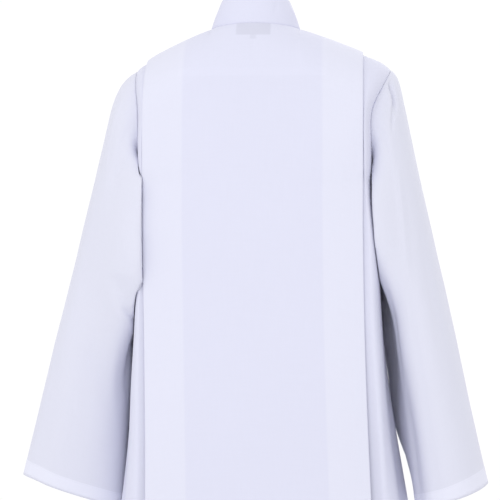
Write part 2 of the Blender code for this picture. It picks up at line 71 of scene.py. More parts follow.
# Body form, by height: half of the width, how far the left side is drawn in, depth behind and
# before the middle, place of the pleats' outer folds, how square the form is beyond them, and
# swing to the wearer's right
SECTION_COLUMNS = ("height", "half_width", "drawn_in", "back_depth", "front_depth", "pleat_at",
                   "corner", "swing")
SECTIONS = (
    (-0.060, 0.2305, 0.0280, 0.116, 0.106, 0.1830, 3.0, 0.000),
    (-0.074, 0.2300, 0.0275, 0.117, 0.107, 0.1830, 3.0, 0.000),
    (-0.101, 0.2170, 0.0170, 0.119, 0.110, 0.1830, 3.0, 0.000),
    (-0.141, 0.1985, 0.0035, 0.121, 0.114, 0.1830, 3.0, 0.000),
    (-0.180, 0.1965, 0.0025, 0.122, 0.118, 0.1830, 3.2, 0.000),
    (-0.260, 0.2015, 0.0065, 0.123, 0.122, 0.1830, 4.0, 0.000),
    (-0.350, 0.2090, 0.0130, 0.124, 0.123, 0.1830, 5.6, 0.000),
    (-0.570, 0.2180, 0.0060, 0.128, 0.124, 0.1830, 5.0, 0.004),
    (-0.810, 0.2430, 0.0075, 0.146, 0.136, 0.1860, 3.6, 0.0105),
    (-1.120, 0.2800, 0.0000, 0.172, 0.158, 0.1930, 2.6, 0.018),
    (-1.430, 0.3180, -0.0020, 0.198, 0.182, 0.2020, 2.2, 0.020),
)
PANEL_FALL = 0.10  # share of its depth that a panel loses between its middle and its fold
PANEL_CORNER = 3.0
SIDE_ROUNDS = (0.7, 1.5)  # from and over these half heights of the armhole below its middle
HELD_AT_SIDE = 0.18  # the side seam holds the cloth flat for this much of a station
HELD_AT_TOP = (4, 20)  # degrees over the ridge: the cloth gets free from and over these

# Pleats, folded towards the middle under the panel that shows
PLEAT_DEPTH = 0.064
PLEAT_TURN = 0.0012
PLEAT_TURN_HEM = 0.0032
PLEAT_OPENS_BELOW = -0.45
PLEAT_GAPE = {"left": 0.007, "right": 0.014}

# Soft folds that grow down the skirt
FOLDS = {
    "left": (
        # place (0 middle of the back, 1 side seam, 2 middle of the front), spread, rise, top
        (0.15, 0.12, 0.01, -0.86),
        (0.57, 0.09, 0.016, -0.6),
        (0.79, 0.08, -0.014, -0.52),
        (1, 0.095, 0.026, -0.5),
        (1.21, 0.08, -0.012, -0.58),
        (1.42, 0.09, 0.022, -0.46),
        (1.76, 0.11, 0.012, -0.85),
    ),
    "right": (
        (0.22, 0.12, 0.009, -0.92),
        (0.6, 0.085, 0.02, -0.54),
        (0.8, 0.08, -0.016, -0.48),
        (1, 0.09, 0.024, -0.42),
        (1.2, 0.08, -0.015, -0.56),
        (1.4, 0.09, 0.024, -0.5),
        (1.7, 0.12, 0.013, -0.8),
    ),
}

# Ripples of hanging cloth, as the size of their patches and their rise
BODY_RIPPLES = ((0.11, 0.0016), (0.035, 0.0004))

# Creases listed from one end to the other, on the flat of each face, in millimetres
BACK_CREASES = (
    # across, height, across at the end, height at the end, half width, rise
    (196, -128, 172, -205, 6, -1.2),
    (205, -150, 188, -260, 10, 1.6),
    (-188, -150, -176, -250, 7, -1.4),
    (60, -50, 170, -105, 16, 1),
    (-50, -45, -165, -120, 18, 1.2),
    (90, -820, 120, -1300, 20, -2.6),
    (-40, -900, -70, -1400, 24, 3.2),
    (20, -1000, 30, -1425, 18, -2.4),
    (-130, -780, -150, -1240, 18, -2.4),
    (-215, -560, -262, -980, 9, -3),
    (-205, -480, -226, -860, 7, 2.2),
    (200, -620, 232, -1120, 12, -2.6),
)

BACK, FRONT = 1, -1
SIDES = {"left": 1, "right": -1}

# Stations run from the middle of the back or front (0) to the pleat's outer fold (1) and on
# to the armhole or side seam (2)
NECK_STATION = 0.50
UNDERLAY_STATION = 1 - PLEAT_DEPTH / SECTIONS[0][SECTION_COLUMNS.index("pleat_at")]

# How finely the body pieces are divided
NECK_STEPS, YOKE_STEPS, PLEAT_STEPS, TURN_STEPS, SIDE_STEPS = 22, 7, 13, 6, 40
RIDGE_STEPS, ARMHOLE_STEPS, SKIRT_STEPS = 12, 14, 120


def mix(start, end, share):
    return start + (end - start) * share


def ease(share):
    """0 to 1 with a soft start and a soft end."""
    share = min(max(share, 0.0), 1.0)
    return share * share * (3 - 2 * share)


def sine_cosine(degrees):
    turned = math.radians(degrees)
    return math.sin(turned), math.cos(turned)


def section(column, height):
    """A column of SECTIONS at a height, by a smooth curve through its rows."""
    index = SECTION_COLUMNS.index(column)
    if height >= SECTIONS[0][0]:
        return SECTIONS[0][index]
    for row in range(len(SECTIONS) - 1):
        above, below = SECTIONS[row], SECTIONS[row + 1]
        if height < below[0] and row < len(SECTIONS) - 2:
            continue
        before = SECTIONS[max(row - 1, 0)]
        after = SECTIONS[min(row + 2, len(SECTIONS) - 1)]
        span = above[0] - below[0]
        start_slope = (below[index] - before[index]) / (before[0] - below[0]) * span
        end_slope = (after[index] - above[index]) / (above[0] - after[0]) * span
        share = (above[0] - height) / span
        square, cube = share ** 2, share ** 3
        return ((2 * cube - 3 * square + 1) * above[index] + (cube - 2 * square + share) * start_slope
                + (3 * square - 2 * cube) * below[index] + (cube - square) * end_slope)


def pleat_opening(height):
    """0 where the pleats are pressed shut, 1 at the hem."""
    return ease((PLEAT_OPENS_BELOW - height) / (PLEAT_OPENS_BELOW - HEM_HEIGHT)) ** 0.8


def side_share(station):
    """Share of the way from the pleat to the side seam, with close steps at the seam."""
    return 1 - (2 - station) ** 2


def body_half(side, height):
    """Half of the body's width, on one side."""
    return section("half_width", height) - (section("drawn_in", height) if side == "left" else 0.0)


def top_edge(face, side, station):
    """Where a line of the cloth starts, on the neckline or the shoulder seam."""
    pleat = section("pleat_at", 0)
    if station < NECK_STATION:
        angle = math.radians(90) * station / NECK_STATION
        depth = NECK_BACK if face == BACK else NECK_FRONT
        rise = NECK_BACK_RISE if face == BACK else -NECK_FRONT_FALL
        return NECK_HALF * math.sin(angle), depth * math.cos(angle), rise * math.cos(angle) ** 2
    if station < UNDERLAY_STATION:
        share = (station - NECK_STATION) / (UNDERLAY_STATION - NECK_STATION)
        across = mix(NECK_HALF, UNDERLAY_STATION * pleat, share)
    elif station < 1:
        across = station * pleat
    else:
        across = mix(pleat, SHOULDER_HALF[side], side_share(station))
    share = (across - NECK_HALF) / (SHOULDER_HALF[side] - NECK_HALF)
    fallen = mix(share ** SHOULDER_CURVE, share ** 10, SHOULDER_ROUND)
    return across, 0.0, -SHOULDER_FALL * fallen


def armhole_edge(height):
    """Depth of the cloth at its outer edge: on the armhole, and none at the side seam."""
    below = (ARMHOLE_MIDDLE - height) / ARMHOLE_HALF_HEIGHT
    return ARMHOLE_HALF_DEPTH * math.sqrt(1 - min(max(below, 0.0), 1.0) ** 2)


def fold_rise(side, place, height):
    """How far the soft folds lift the cloth at a place round the form."""
    total = 0.0
    for fold_place, spread, rise, top in FOLDS[side]:
        grown = ease((top - height) / (top - HEM_HEIGHT))
        total += rise * grown * math.exp(-((place - fold_place) / spread) ** 2)
    return total


def crease_rise(table, across, height):
    """How far the listed creases lift the cloth: each dies away at its ends and its sides."""
    total = 0.0
    for crease in table:
        from_across, from_height, to_across, to_height, half_width, rise = (
            value / 1000 for value in crease)
        run = Vector((to_across - from_across, to_height - from_height))
        gone = Vector((across - from_across, height - from_height))
        share = gone.dot(run) / run.length_squared
        if 0 < share < 1:
            off = (gone - run * share).length / half_width
            total += rise * math.exp(-off * off) * math.sin(math.pi * share) ** 0.8
    return total


def ripples(point, sizes, total=0.0):
    """The slight unevenness of hanging cloth, added to a rise."""
    for size, rise in sizes:
        total += rise * noise.noise(Vector((point.x, point.y, point.z * 0.5)) / size)
    return total


def form_point(face, side, station, row):
    """A point of the body form, on the middle of the cloth, without pleats."""
    turned, fallen = row
    top_across, top_depth, top_height = top_edge(face, side, abs(station))
    drop = 1 - math.cos(math.radians(turned))
    height = mix(top_height - ARMHOLE_HALF_HEIGHT * drop, HEM_HEIGHT, fallen)
    half_width = body_half(side, height)
    pleat = section("pleat_at", height)
    under = (ARMHOLE_MIDDLE - height) / ARMHOLE_HALF_HEIGHT
    if abs(station) < 1:
        across = mix(top_across, abs(station) * pleat, ease((top_height - height) / BLEND))
        falling_off = 1 - PANEL_FALL * (across / pleat) ** PANEL_CORNER
    else:
        aside = side_share(abs(station))
        across = mix(pleat, half_width, aside)
        # the side is pinched to an edge beside the armhole, and round from below it
        full = mix(1.0, 0.5, ease((under - SIDE_ROUNDS[0]) / SIDE_ROUNDS[1]))
        rounded = max(1 - aside ** section("corner", height), 0.0) ** full
        falling_off = (1 - PANEL_FALL) * rounded
    middle_depth = section("back_depth" if face == BACK else "front_depth", height)
    depth = mix(armhole_edge(height), middle_depth, falling_off)
    at_neck = max(1 - abs(station) / NECK_STATION, 0.0)
    over_ridge = (1 - (1 - drop) ** mix(2.0, 1.7, at_neck)) ** mix(0.5, 1.0, at_neck)
    depth = mix(top_depth, depth, over_ridge)
    # the soft folds stand out from the form square to its oval
    lean = Vector((across / half_width ** 2, depth / middle_depth ** 2))
    place = math.atan2(lean.x * half_width, lean.y * middle_depth) / math.radians(90)
    place = place if face == BACK else 2 - place
    lean.normalize()
    rise = fold_rise(side, place, height)
    hand = SIDES[side] * (1 if station >= 0 else -1)
    swing = section("swing", height)
    return Vector((hand * (across + rise * lean.x) - swing,
                   face * (max(depth, 0.0) + SEAM / 2 + rise * lean.y), height))


@functools.lru_cache(maxsize=None)
def form_frame(face, side, station, row):
    """A form point, the way outwards along the cloth there, and the way off it."""
    turned, fallen = row
    nudge = 0.002
    centre = min(station, 2.0 - nudge)
    along = form_point(face, side, centre + nudge, row) - form_point(face, side, centre - nudge, row)
    if fallen == 0:
        low, high = max(turned - 1, 0), min(turned + 1, 90)
        down = form_point(face, side, centre, (high, 0)) - form_point(face, side, centre, (low, 0))
    else:
        down = (form_point(face, side, centre, (turned, min(fallen + nudge, 1)))
                - form_point(face, side, centre, (turned, fallen - nudge)))
    along.normalize()
    off = along.cross(down).normalized()
    if off.y * face < -0.2 or (abs(off.y) <= 0.2 and off.x * SIDES[side] < -0.2):
        off.negate()
    return form_point(face, side, station, row), along, off


def hem_rows(turned, hem):
    """Rows of a turned hem down to its edge."""
    steps = HEM_ROWS - 1
    return [(turned, mix(hem, 1, step / steps)) for step in range(steps)] + [(turned, 1.0)]


def body_rows():
    """Rows of the body pieces from the top edge to the hem, as (turned, fallen)."""
    rows = [(90 * step / RIDGE_STEPS, 0.0) for step in range(RIDGE_STEPS + 1)]
    length = ARMHOLE_MIDDLE - HEM_HEIGHT
    armhole = ARMHOLE_HALF_HEIGHT / length
    rows += [(90, armhole * math.sin(math.radians(90) * step / ARMHOLE_STEPS))
             for step in range(1, ARMHOLE_STEPS + 1)]
    hem = 1 - HEM_DEPTH / length
    rows += [(90, mix(armhole, hem - 0.001, step / SKIRT_STEPS)) for step in range(1, SKIRT_STEPS + 1)]
    return rows + hem_rows(90, hem)


def half_columns():
    """Columns from the middle to the side, as (station, out along the fold, layers down)."""
    pleat = [mix(UNDERLAY_STATION, 1, step / PLEAT_STEPS) for step in range(1, PLEAT_STEPS)]
    turn = [math.radians(180) * step / TURN_STEPS for step in range(TURN_STEPS + 1)]
    columns = [(NECK_STATION * step / NECK_STEPS, 0, 0) for step in range(NECK_STEPS + 1)]
    columns += [(mix(NECK_STATION, UNDERLAY_STATION, step / YOKE_STEPS), 0, 0)
                for step in range(1, YOKE_STEPS + 1)]
    columns += [(station, 0, 0) for station in pleat]
    columns += [(1, math.sin(angle), 1 - math.cos(angle)) for angle in turn]
    columns += [(station, 0, 2) for station in reversed(pleat)]
    columns += [(UNDERLAY_STATION, -math.sin(angle), 3 - math.cos(angle)) for angle in turn]
    columns += [(station, 0, 4) for station in pleat]
    columns += [(1 + step / SIDE_STEPS, 0, 4) for step in range(SIDE_STEPS + 1)]
    return columns


def body_point(face, side, column, row):
    """A point of a body piece, with its pleat folded under."""
    station, out, layers = column
    point, along, off = form_frame(face, side, abs(station), row)
    if station < 0:
        point = form_point(face, side, station, row)
    opening = pleat_opening(point.z)
    turn = mix(PLEAT_TURN, PLEAT_TURN_HEM, opening)
    depth = layers * turn
    if layers == 4:
        gape = PLEAT_GAPE[side] * opening
        if station <= 1:
            depth += gape * ease((station - UNDERLAY_STATION) / (1 - UNDERLAY_STATION))
        else:
            depth = (depth + gape) * (1 - ease((side_share(station) - 0.06) / 0.94))
    # creases and ripples die away at the seams, which hold the cloth
    turned = row[0] if row[1] == 0 else 90
    free = ease((2 - abs(station)) / HELD_AT_SIDE) * ease((turned - HELD_AT_TOP[0]) / HELD_AT_TOP[1])
    creases = BACK_CREASES if face == BACK else FRONT_CREASES
    rise = ripples(point, BODY_RIPPLES, crease_rise(creases, point.x, point.z))
    return point + along * out * turn - off * (depth - rise * free)


def placed(name, data):
    """A new object in the scene."""
    made = bpy.data.objects.new(name, data)
    bpy.context.scene.collection.objects.link(made)
    return made


def meshed(name, shape):
    """A new object made from a bmesh, which is used up."""
    mesh = bpy.data.meshes.new(name)
    shape.to_mesh(mesh)
    shape.free()
    return placed(name, mesh)


def cloth(name, columns, rows, point_at, thick=HEM_CLOTH, thick_row=None, closed=False,
          layers_at=lambda column, row: 0.0):
    """A grid moved onto its form and given a wall; a closed one is welded into a tube.

    The UV map is the flat cloth in metres, so a weave keeps its size. The attribute "layers"
    is 1 where more layers of cloth lie behind, and there the cloth is painted lighter as painted
    show-through.
    """
    points = [[point_at(column, row) for column in range(columns + 1)] for row in range(rows + 1)]
    middle = columns // 2
    fallen = [0.0]
    for above, below in zip(points, points[1:]):
        fallen.append(fallen[-1] + (below[middle] - above[middle]).length)
    walked = []
    for line in points:
        gone = [0.0]
        for before, after in zip(line, line[1:]):
            gone.append(gone[-1] + (after - before).length)
        walked.append([length - gone[middle] for length in gone])
    sheet = bmesh.new()
    bmesh.ops.create_grid(sheet, x_segments=columns, y_segments=rows, size=1)
    weights = sheet.verts.layers.deform.verify()
    layers = sheet.verts.layers.float.new("layers")
    flat = sheet.loops.layers.uv.verify()
    places = {}
    for vertex in sheet.verts:
        column = round((vertex.co.x + 1) / 2 * columns)
        row = round((1 - vertex.co.y) / 2 * rows)
        places[vertex] = (column, row)
        vertex.co = points[row][column]
        vertex[weights][0] = 1.0 if thick_row is None or row >= thick_row else CLOTH / thick
        vertex[layers] = layers_at(column, row)
    for surface in sheet.faces:
        surface.smooth = True
        for loop in surface.loops:
            column, row = places[loop.vert]
            loop[flat].uv = (walked[row][column], fallen[row])
    if closed:
        bmesh.ops.remove_doubles(sheet, verts=sheet.verts, dist=0.00005)
    bmesh.ops.recalc_face_normals(sheet, faces=sheet.faces)
    made = meshed(name, sheet)
    made.vertex_groups.new(name="wall")
    solidify = made.modifiers.new("wall", "SOLIDIFY")
    solidify.thickness = thick
    solidify.offset = 0
    solidify.use_quality_normals = True
    solidify.vertex_group = "wall"
    return made


def colour(code):
    """An sRGB hex colour as linear RGBA."""
    parts = [int(code[start:start + 2], 16) / 255 for start in (1, 3, 5)]
    return (*[part / 12.92 if part <= 0.04045 else ((part + 0.055) / 1.055) ** 2.4 for part in parts], 1)


def wire(look, made, links):
    """Set a node's inputs, by number or name, to values or to other nodes' outputs."""
    for socket, value in links.items():
        if isinstance(value, bpy.types.NodeSocket):
            look.node_tree.links.new(value, made.inputs[socket])
        else:
            made.inputs[socket].default_value = value


def node(look, kind, links=None, **settings):
    """Add a node. Settings name its own properties, links its inputs."""
    made = look.node_tree.nodes.new(kind)
    for setting, value in settings.items():
        setattr(made, setting, value)
    wire(look, made, links or {})
    return made


def new_look(name, inputs):
    """A new material and its shader, with some of the shader's inputs set."""
    look = bpy.data.materials.new(name)
    look.use_nodes = True
    shader = look.node_tree.nodes["Principled BSDF"]
    wire(look, shader, inputs)
    return look, shader


def multiplied(look, value, other):
    return node(look, "ShaderNodeMath", {0: value, 1: other}, operation="MULTIPLY").outputs[0]


def stretched(look, value, low, high, start=0.0, end=1.0, **settings):
    """A value that runs from start to end, made to run from low to high."""
    return node(look, "ShaderNodeMapRange", {"Value": value, "From Min": start, "From Max": end,
                                             "To Min": low, "To Max": high}, **settings).outputs[0]


def scaled(look, vector, share):
    return node(look, "ShaderNodeVectorMath", {0: vector, "Scale": share}, operation="SCALE").outputs[0]


def raised(look, height, strength, distance):
    """The normals of a surface that a value raises."""
    return node(look, "ShaderNodeBump", {"Strength": strength, "Distance": distance,
                                         "Height": height}).outputs[0]


THREAD_PITCH = 0.0016  # the real yarns lie 0.25 mm apart, and are drawn this coarse to show
SLUB_RANGE = (0.6, 1.4)  # of the sum of both ways' slubs
BEHIND_SOFT = 0.0020  # how soft the edge of something behind the cloth is, to either side


def box_mask(look, place, low, high):
    """1 inside a box, given by its corners in metres, and 0 outside it."""
    axes = node(look, "ShaderNodeSeparateXYZ", {0: place})
    inside = None
    for axis in range(3):
        for edge, soft in ((low[axis], BEHIND_SOFT), (high[axis], -BEHIND_SOFT)):
            side = stretched(look, axes.outputs[axis], 0.0, 1.0, edge - soft, edge + soft,
                             interpolation_type="SMOOTHSTEP")
            inside = side if inside is None else multiplied(look, inside, side)
    return inside


def woven_polyester(name, single, doubled, show_through=()):
    """Light plain-woven polyester: smooth and matt with a soft sheen, and faintly slubbed. It is
    painted a shade brighter where layers lie over each other and let less through: painted
    show-through, in place of the shaded inside seen through one layer. What lies behind it in
    a box is painted in as show-through too, lightening or darkening it by a share."""
    look, shader = new_look(name, {"Sheen Weight": 0.12, "Sheen Roughness": 0.45,
                                   "Specular IOR Level": 0.25})
    flat = node(look, "ShaderNodeUVMap").outputs[0]
    axes = node(look, "ShaderNodeSeparateXYZ", {0: flat})
    yarns = []
    for axis in (0, 1):
        turns = multiplied(look, axes.outputs[axis], 2 * math.pi / THREAD_PITCH)
        yarns.append(node(look, "ShaderNodeMath", {0: turns}, operation="SINE").outputs[0])
    slubs = []
    for stretch in ((300, 22, 1), (22, 300, 1)):
        spread = node(look, "ShaderNodeMapping", {"Vector": flat, "Scale": stretch}).outputs[0]
        grain = node(look, "ShaderNodeTexNoise", {"Vector": spread, "Scale": 1.0, "Detail": 2.0})
        slubs.append(grain.outputs["Fac"])
    slub = node(look, "ShaderNodeMath", {0: slubs[0], 1: slubs[1]}, operation="ADD").outputs[0]
    relief = node(look, "ShaderNodeMath", {0: slub, 1: 0.9, 2: multiplied(look, *yarns)},
                  operation="MULTIPLY_ADD")
    place = node(look, "ShaderNodeTexCoord").outputs["Object"]
    cloudy = node(look, "ShaderNodeTexNoise", {"Vector": place, "Scale": 4.0, "Detail": 3.0})
    layered = node(look, "ShaderNodeAttribute", attribute_name="layers")
    # painted show-through: single cloth is painted a shade darker and doubled cloth a shade lighter, in
    # place of the shaded inside seen through one layer
    show_through_tone = node(look, "ShaderNodeMix", {0: layered.outputs["Fac"], 6: colour(single),
                                        7: colour(doubled)}, data_type="RGBA")
    shade = multiplied(look, stretched(look, cloudy.outputs["Fac"], 0.985, 1.015),
                       stretched(look, slub, 0.992, 1.008, *SLUB_RANGE))
    # painted show-through: each box of a label or the facing behind the cloth is painted darker or
    # lighter by its share
    for low, high, share in show_through:
        behind = stretched(look, box_mask(look, place, low, high), 1.0, 1 + share)
        shade = multiplied(look, shade, behind)
    wire(look, shader, {"Base Color": scaled(look, show_through_tone.outputs[2], shade),
                        "Roughness": stretched(look, slub, 0.60, 0.74, *SLUB_RANGE),
                        "Normal": raised(look, relief.outputs[0], 0.10, 0.0004)})
    return look


FRONT_CREASES = (
    # across, height, across at the end, height at the end, half width, rise
    (195, -130, 150, -250, 10, 2.2),
    (-195, -120, -140, -235, 11, 2.4),
    (178, -215, 120, -300, 8, -1.6),
    (-180, -225, -128, -320, 9, -1.8),
    (60, -120, 100, -420, 20, 2),
    (-70, -130, -90, -460, 22, -2),
    (50, -760, 70, -1280, 20, 3),
    (-60, -820, -90, -1400, 22, -2.8),
    (120, -700, 150, -1200, 18, -2.8),
    (-150, -640, -190, -1150, 18, 2.8),
    (210, -560, 240, -1050, 12, 2.6),
    (-220, -600, -270, -1020, 12, -2.6),
)

# painted show-through: where the two labels inside the back of the neck and the lower edge of the facing
# that lies under the shoulders would show through the thin cloth, its colour is painted a shade darker
# for the labels and a little lighter for the facing's edge
PAINTED_SHOW_THROUGH = (
    ((-0.029, 0.040, -0.0165), (0.029, 0.100, 0.0060), -0.10),
    ((-0.005, 0.040, -0.0240), (0.005, 0.100, -0.0165), -0.07),
    ((-0.124, 0.040, -0.0880), (0.124, 0.140, 0.0200), 0.007),
    ((-0.124, 0.040, -0.0880), (0.124, 0.140, -0.0740), 0.006),
)

# the doubled colour is a painted show-through tone: the same cloth, painted a shade lighter where layers
# overlap
body_cloth = woven_polyester("body_woven_polyester", "#D5D6E7", "#D9DAE9", show_through=PAINTED_SHOW_THROUGH)
rows = body_rows()
hem_row = len(rows) - HEM_ROWS
half = half_columns()
columns = [("left", column) for column in reversed(half)] + [("right", column) for column in half[1:]]


def doubled_at(column, row):
    """1 on the turned hem, and on the panel that lies over a pleat's two under layers."""
    if row >= hem_row:
        return 1.0
    station, _, layers = column
    return 1.0 if layers == 0 and UNDERLAY_STATION <= abs(station) <= 1 else 0.0


back = cloth("worn_back", len(columns) - 1, len(rows) - 1,
             lambda column, row: body_point(BACK, *columns[column], rows[row]),
             thick_row=hem_row, layers_at=lambda column, row: doubled_at(columns[column][1], row))
back.data.materials.append(body_cloth)
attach(back, "root")
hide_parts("back")

# ---------------------------------------------------------------- Fronts
# The two fronts are cut like halves of the back, each with one pressed pleat. The left one
# laps 30 mm over the right one down the middle, and the collar takes in their necklines.
LAP_HALF = 0.015
LAP_LIFT = 0.0015
LAP_EASE = 0.045  # the fronts are level with each other again this far out


def front_point(side, column, row):
    """A point of a front, which laps over or under the other one at the middle."""
    point = body_point(FRONT, side, column, row)
    station = column[0]
    if column[2] == 0:
        across = abs(point.x + section("swing", point.z))
        lift = LAP_LIFT * (1 - ease((across - LAP_HALF) / LAP_EASE))
        off = form_frame(FRONT, side, max(abs(station), 0.01), row)[2]
        point += off * lift * SIDES[side]
    return point


lap = LAP_HALF / section("pleat_at", 0)
front_columns = [(-lap * share, 0, 0) for share in (1, 0.75, 0.5, 0.25)] + half
fronts = {}
for side in SIDES:
    fronts[side] = cloth(
        "worn_front_" + side, len(front_columns) - 1, len(rows) - 1,
        lambda column, row: front_point(side, front_columns[column], rows[row]),
        thick_row=hem_row, layers_at=lambda column, row: doubled_at(front_columns[column], row))
    fronts[side].data.materials.append(body_cloth)
    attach(fronts[side], "root")
    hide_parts("front_" + side)

# ---------------------------------------------------------------- Sleeves
# Each sleeve is one wide piece of the same cloth, set into the armhole with a little ease at
# its cap, seamed under the arm, and turned up 30 mm at its hem. The arms hang and lean out.
SLEEVES = {
    # cap, hem_x, hem_y, hem_z, half_width, half_depth, turned, leaning
    "left": (0.034, 0.3190, -0.050, -0.797, 0.0950, 0.066, 0.0, 17.0),
    "right": (0.012, 0.3390, 0.008, -0.794, 0.0600, 0.090, 18.0, 17.0),
}
SLEEVE_BEND = 0.034  # how far the cap stands out behind and before
SLEEVE_TUCK = 0.88  # share of that which is lost under the arm
SLEEVE_HEAD = 0.08  # the cap's length, by parts of the sleeve's
SLEEVE_SQUARE = 0.80  # under 1, a sleeve is squarer than an oval
SLEEVE_GAP = 0.0004  # from the body's edge to the middle of the sleeve's cloth
SLEEVE_CLEAR = 0.0017  # between the body form and the inner side of a sleeve
SLEEVE_FOLDS = {
    "left": (
        # place round it in degrees (0 outside, 90 back), spread, rise, share down it, reach
        (120, 26, 0.08, 0.28, 0.36),
        (134, 22, 0.052, 0.055, 0.135),
        (228, 26, 0.03, 0.5, 0.5),
        (318, 20, -0.009, 0.8, 0.4),
        (48, 24, -0.006, 0.9, 0.4),
    ),
    "right": (
        (128, 26, 0.038, 0.19, 0.27),
        (160, 34, 0.024, 0.05, 0.13),
        (126, 18, -0.01, 0.84, 0.4),
        (222, 30, 0.056, 0.46, 0.54),
        (200, 28, 0.028, 0.78, 0.28),
        (290, 20, 0.008, 0.66, 0.36),
        (330, 20, -0.008, 0.86, 0.4),
    ),
}
SLEEVE_CREASES = {
    "left": (
        # round and down it, then at the other end, half width, rise
        (135, 50, 100, 105, 5, -2.2),
        (60, 10, 80, 120, 9, 1.6),
        (160, 200, 185, 420, 11, -5),
        (126, 250, 146, 318, 8, -11),
        (138, 300, 184, 330, 6, -6),
        (130, 240, 150, 480, 12, 3),
        (70, 300, 60, 520, 16, 2),
        (300, 60, 340, 200, 10, 3),
        (360, 100, 380, 300, 12, -3),
    ),
    "right": (
        (40, 2, 62, 58, 6.2, -10.5),
        (52, 36, 86, 54, 5, -4),
        (60, 4, 66, 40, 6, 3),
        (90, 100, 120, 330, 13, 3),
        (150, 180, 170, 420, 12, -4),
        (60, 260, 50, 520, 15, -2.4),
        (300, 50, 330, 220, 10, 3),
        (370, 120, 390, 340, 12, -3),
    ),
}
SLEEVE_ROUND = 0.070  # radius that turns degrees round a sleeve into metres
SLEEVE_RIPPLES = ((0.09, 0.0022), (0.03, 0.0004))
SLEEVE_LEAVES = (0.91, -0.39)  # how a sleeve leaves the armhole, out and up
PUCKER_RISE = 0.0011  # the puckers beside the cap's seam
PUCKERS = 23
PUCKER_REACH = 0.020
CAP_LENGTH = 0.06  # over the cap's bend, in metres
CAP_SETTLES = 0.020  # how far beyond the bend a sleeve's line is straight
HELD_AT_CAP = 0.03
AROUND_STEPS, HEAD_STEPS, ARM_STEPS = 140, 20, 140


def armhole_point(side, angle):
    """A point of an armhole, as on the left: 0 at the shoulder, 90 behind, 180 under the arm."""
    sine, cosine = sine_cosine(angle)
    height = ARMHOLE_MIDDLE + ARMHOLE_HALF_HEIGHT * cosine
    return Vector((body_half(side, height), ARMHOLE_HALF_DEPTH * sine, height))


def sleeve_hem_point(side, angle):
    """A point of a sleeve's hem, as on the left side of the wearer."""
    _, hem_x, hem_y, hem_z, half_width, half_depth, turned, leaning = SLEEVES[side]
    sine, cosine = sine_cosine(angle)
    out = half_width * math.copysign(abs(cosine) ** SLEEVE_SQUARE, cosine)
    back_out = half_depth * math.copysign(abs(sine) ** SLEEVE_SQUARE, sine)
    oval = Matrix.Rotation(math.radians(turned), 3, "Z") @ Vector((out, back_out, 0))
    return Vector((hem_x, hem_y, hem_z)) + Matrix.Rotation(math.radians(-leaning), 3, "Y") @ oval


def clear_of_body(side, point):
    """Move a sleeve's point outwards until it is clear of the body form."""
    off_hole = math.hypot(point.y / ARMHOLE_HALF_DEPTH, (point.z - ARMHOLE_MIDDLE) / ARMHOLE_HALF_HEIGHT)
    if off_hole < 1 or point.z > ARMHOLE_MIDDLE:
        return point
    behind = point.y > 0
    middle_depth = section("back_depth" if behind else "front_depth", point.z)
    rounded = 1 - min(abs(point.y) / (middle_depth * (1 - PANEL_FALL)), 1) ** 2
    half_width = body_half(side, point.z)
    across = mix(section("pleat_at", point.z), half_width, rounded ** (1 / section("corner", point.z)))
    place_round = math.atan2(across / half_width, abs(point.y) / middle_depth) / math.radians(90)
    across += max(fold_rise(side, place_round if behind else 2 - place_round, point.z), 0.0)
    grown = ease((off_hole - 1) / 0.25)
    least = across + SLEEVE_CLEAR * grown - SIDES[side] * section("swing", point.z)
    point.x = max(point.x, least)
    return point


def sleeve_fold(side, angle, along):
    """How far the soft folds lift a sleeve's cloth."""
    total = 0.0
    for place_round, spread, rise, middle, reach in SLEEVE_FOLDS[side]:
        off_round = (angle - place_round + 180) % 360 - 180
        off_along = (along - middle) / reach
        if abs(off_along) < 1:
            risen = math.cos(math.radians(90) * off_along) ** 2
            total += rise * math.exp(-(off_round / spread) ** 2) * risen
    return total


def sleeve_point(side, angle, head, along):
    """A point of a sleeve: head runs 0 to 1 over its cap, then along runs 0 to 1 to the hem."""
    sine, cosine = sine_cosine(angle)
    start = armhole_point(side, angle)
    spare = max(sine, 0.0) * max(-cosine, 0.0)     # of the cloth low behind the arm
    leaves = Vector((SLEEVE_LEAVES[0], 0.12 * sine + spare, SLEEVE_LEAVES[1])).normalized()
    tucked = SLEEVE_TUCK * ease(0.35 * max(sine, 0.0) - cosine)
    bend = mix(SLEEVE_BEND, SLEEVES[side][0], max(cosine, 0.0)) * (1 - tucked)
    start = start + leaves * SLEEVE_GAP * (1.5 - 0.5 * cosine)
    corner = start + leaves * bend
    end = sleeve_hem_point(side, angle)
    runs = (end - corner).normalized()
    settled = corner + runs * (bend * 1.2 + CAP_SETTLES)
    if along == 0:
        point = (1 - head) ** 2 * start + 2 * head * (1 - head) * corner + head ** 2 * settled
    else:
        point = settled.lerp(end, along)
    out = Vector((cosine, sine, 0))
    # ease in the cap puckers beside its seam, and dies away down the arm
    gone = head * CAP_LENGTH + along * (end - settled).length
    turned = math.radians(angle)
    pucker = PUCKER_RISE * math.sin(turned * PUCKERS + 1.3 * math.sin(turned * 5))
    pucker *= max(cosine, 0.0) ** 0.5 * ease(gone / 0.006) * math.exp(-gone / PUCKER_REACH)
    creases = crease_rise(SLEEVE_CREASES[side], turned * SLEEVE_ROUND, gone)
    rise = sleeve_fold(side, angle, along + (head - 1) * SLEEVE_HEAD) + pucker
    rise += ripples(point, SLEEVE_RIPPLES, creases) * ease(gone / HELD_AT_CAP)
    point = clear_of_body(side, point + out * rise)
    return Vector((SIDES[side] * point.x, point.y, point.z))


def sleeve_length(side):
    return (sleeve_hem_point(side, 0) - armhole_point(side, 0)).length
